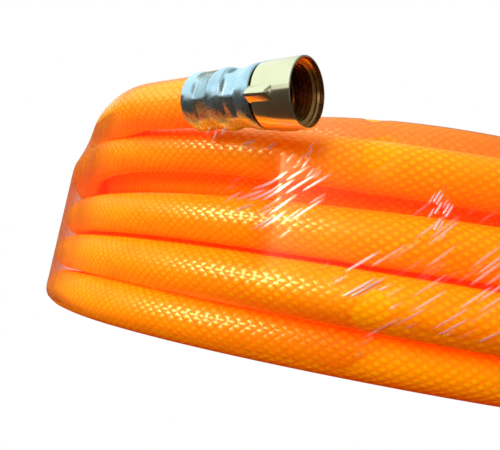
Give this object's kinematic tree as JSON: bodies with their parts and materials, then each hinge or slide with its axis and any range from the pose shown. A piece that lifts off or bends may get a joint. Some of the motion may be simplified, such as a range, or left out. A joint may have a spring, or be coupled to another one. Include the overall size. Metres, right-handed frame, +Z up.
{
  "type": "coiled air hose",
  "caption": "Braided hose wound in a flat-lying coil under stretch film, with a crimped fitting and a free-turning threaded swivel nut on each end.",
  "frame": {"origin": "under the middle of the whole object, on the ground that the coil lies on", "axes": "+Z up along the coil's axis, -Y towards the side where the outer end of the hose lies, and +X the way that its nut points"},
  "size_m": [0.3704, 0.3984, 0.0875],
  "materials": {
    "hose": "clear orange PVC over a diamond braid",
    "film": "clear stretch film, wrinkled",
    "zinc_steel": "bright zinc plating, crimped",
    "brass": "turned",
    "pale_brass": "pale gold plating, polished",
    "seal": "matt"
  },
  "bodies": {
    "coil": {"outer_layer": "hose", "inner_layers": "hose", "stretch_film": "film", "outer_end": "hose", "inner_end": "hose", "outer_sleeve": "zinc_steel", "outer_stem": "brass", "outer_washer": "seal", "inner_sleeve": "zinc_steel", "inner_stem": "brass", "inner_washer": "seal"},
    "outer_swivel": {"outer_nut": "pale_brass"},
    "inner_swivel": {"inner_nut": "pale_brass"}
  },
  "joints": [
    {"name": "outer_nut_turn", "type": "hinge", "parent": "coil", "child": "outer_swivel", "pos_m": [-0.01932, -0.18845, 0.07043], "axis": [0.9259, -0.3703, -0.0748], "continuous": true},
    {"name": "inner_nut_turn", "type": "hinge", "parent": "coil", "child": "inner_swivel", "pos_m": [0.0828, 0.0523, 0.012], "axis": [0.5446, -0.8387, 0], "continuous": true}
  ]
}
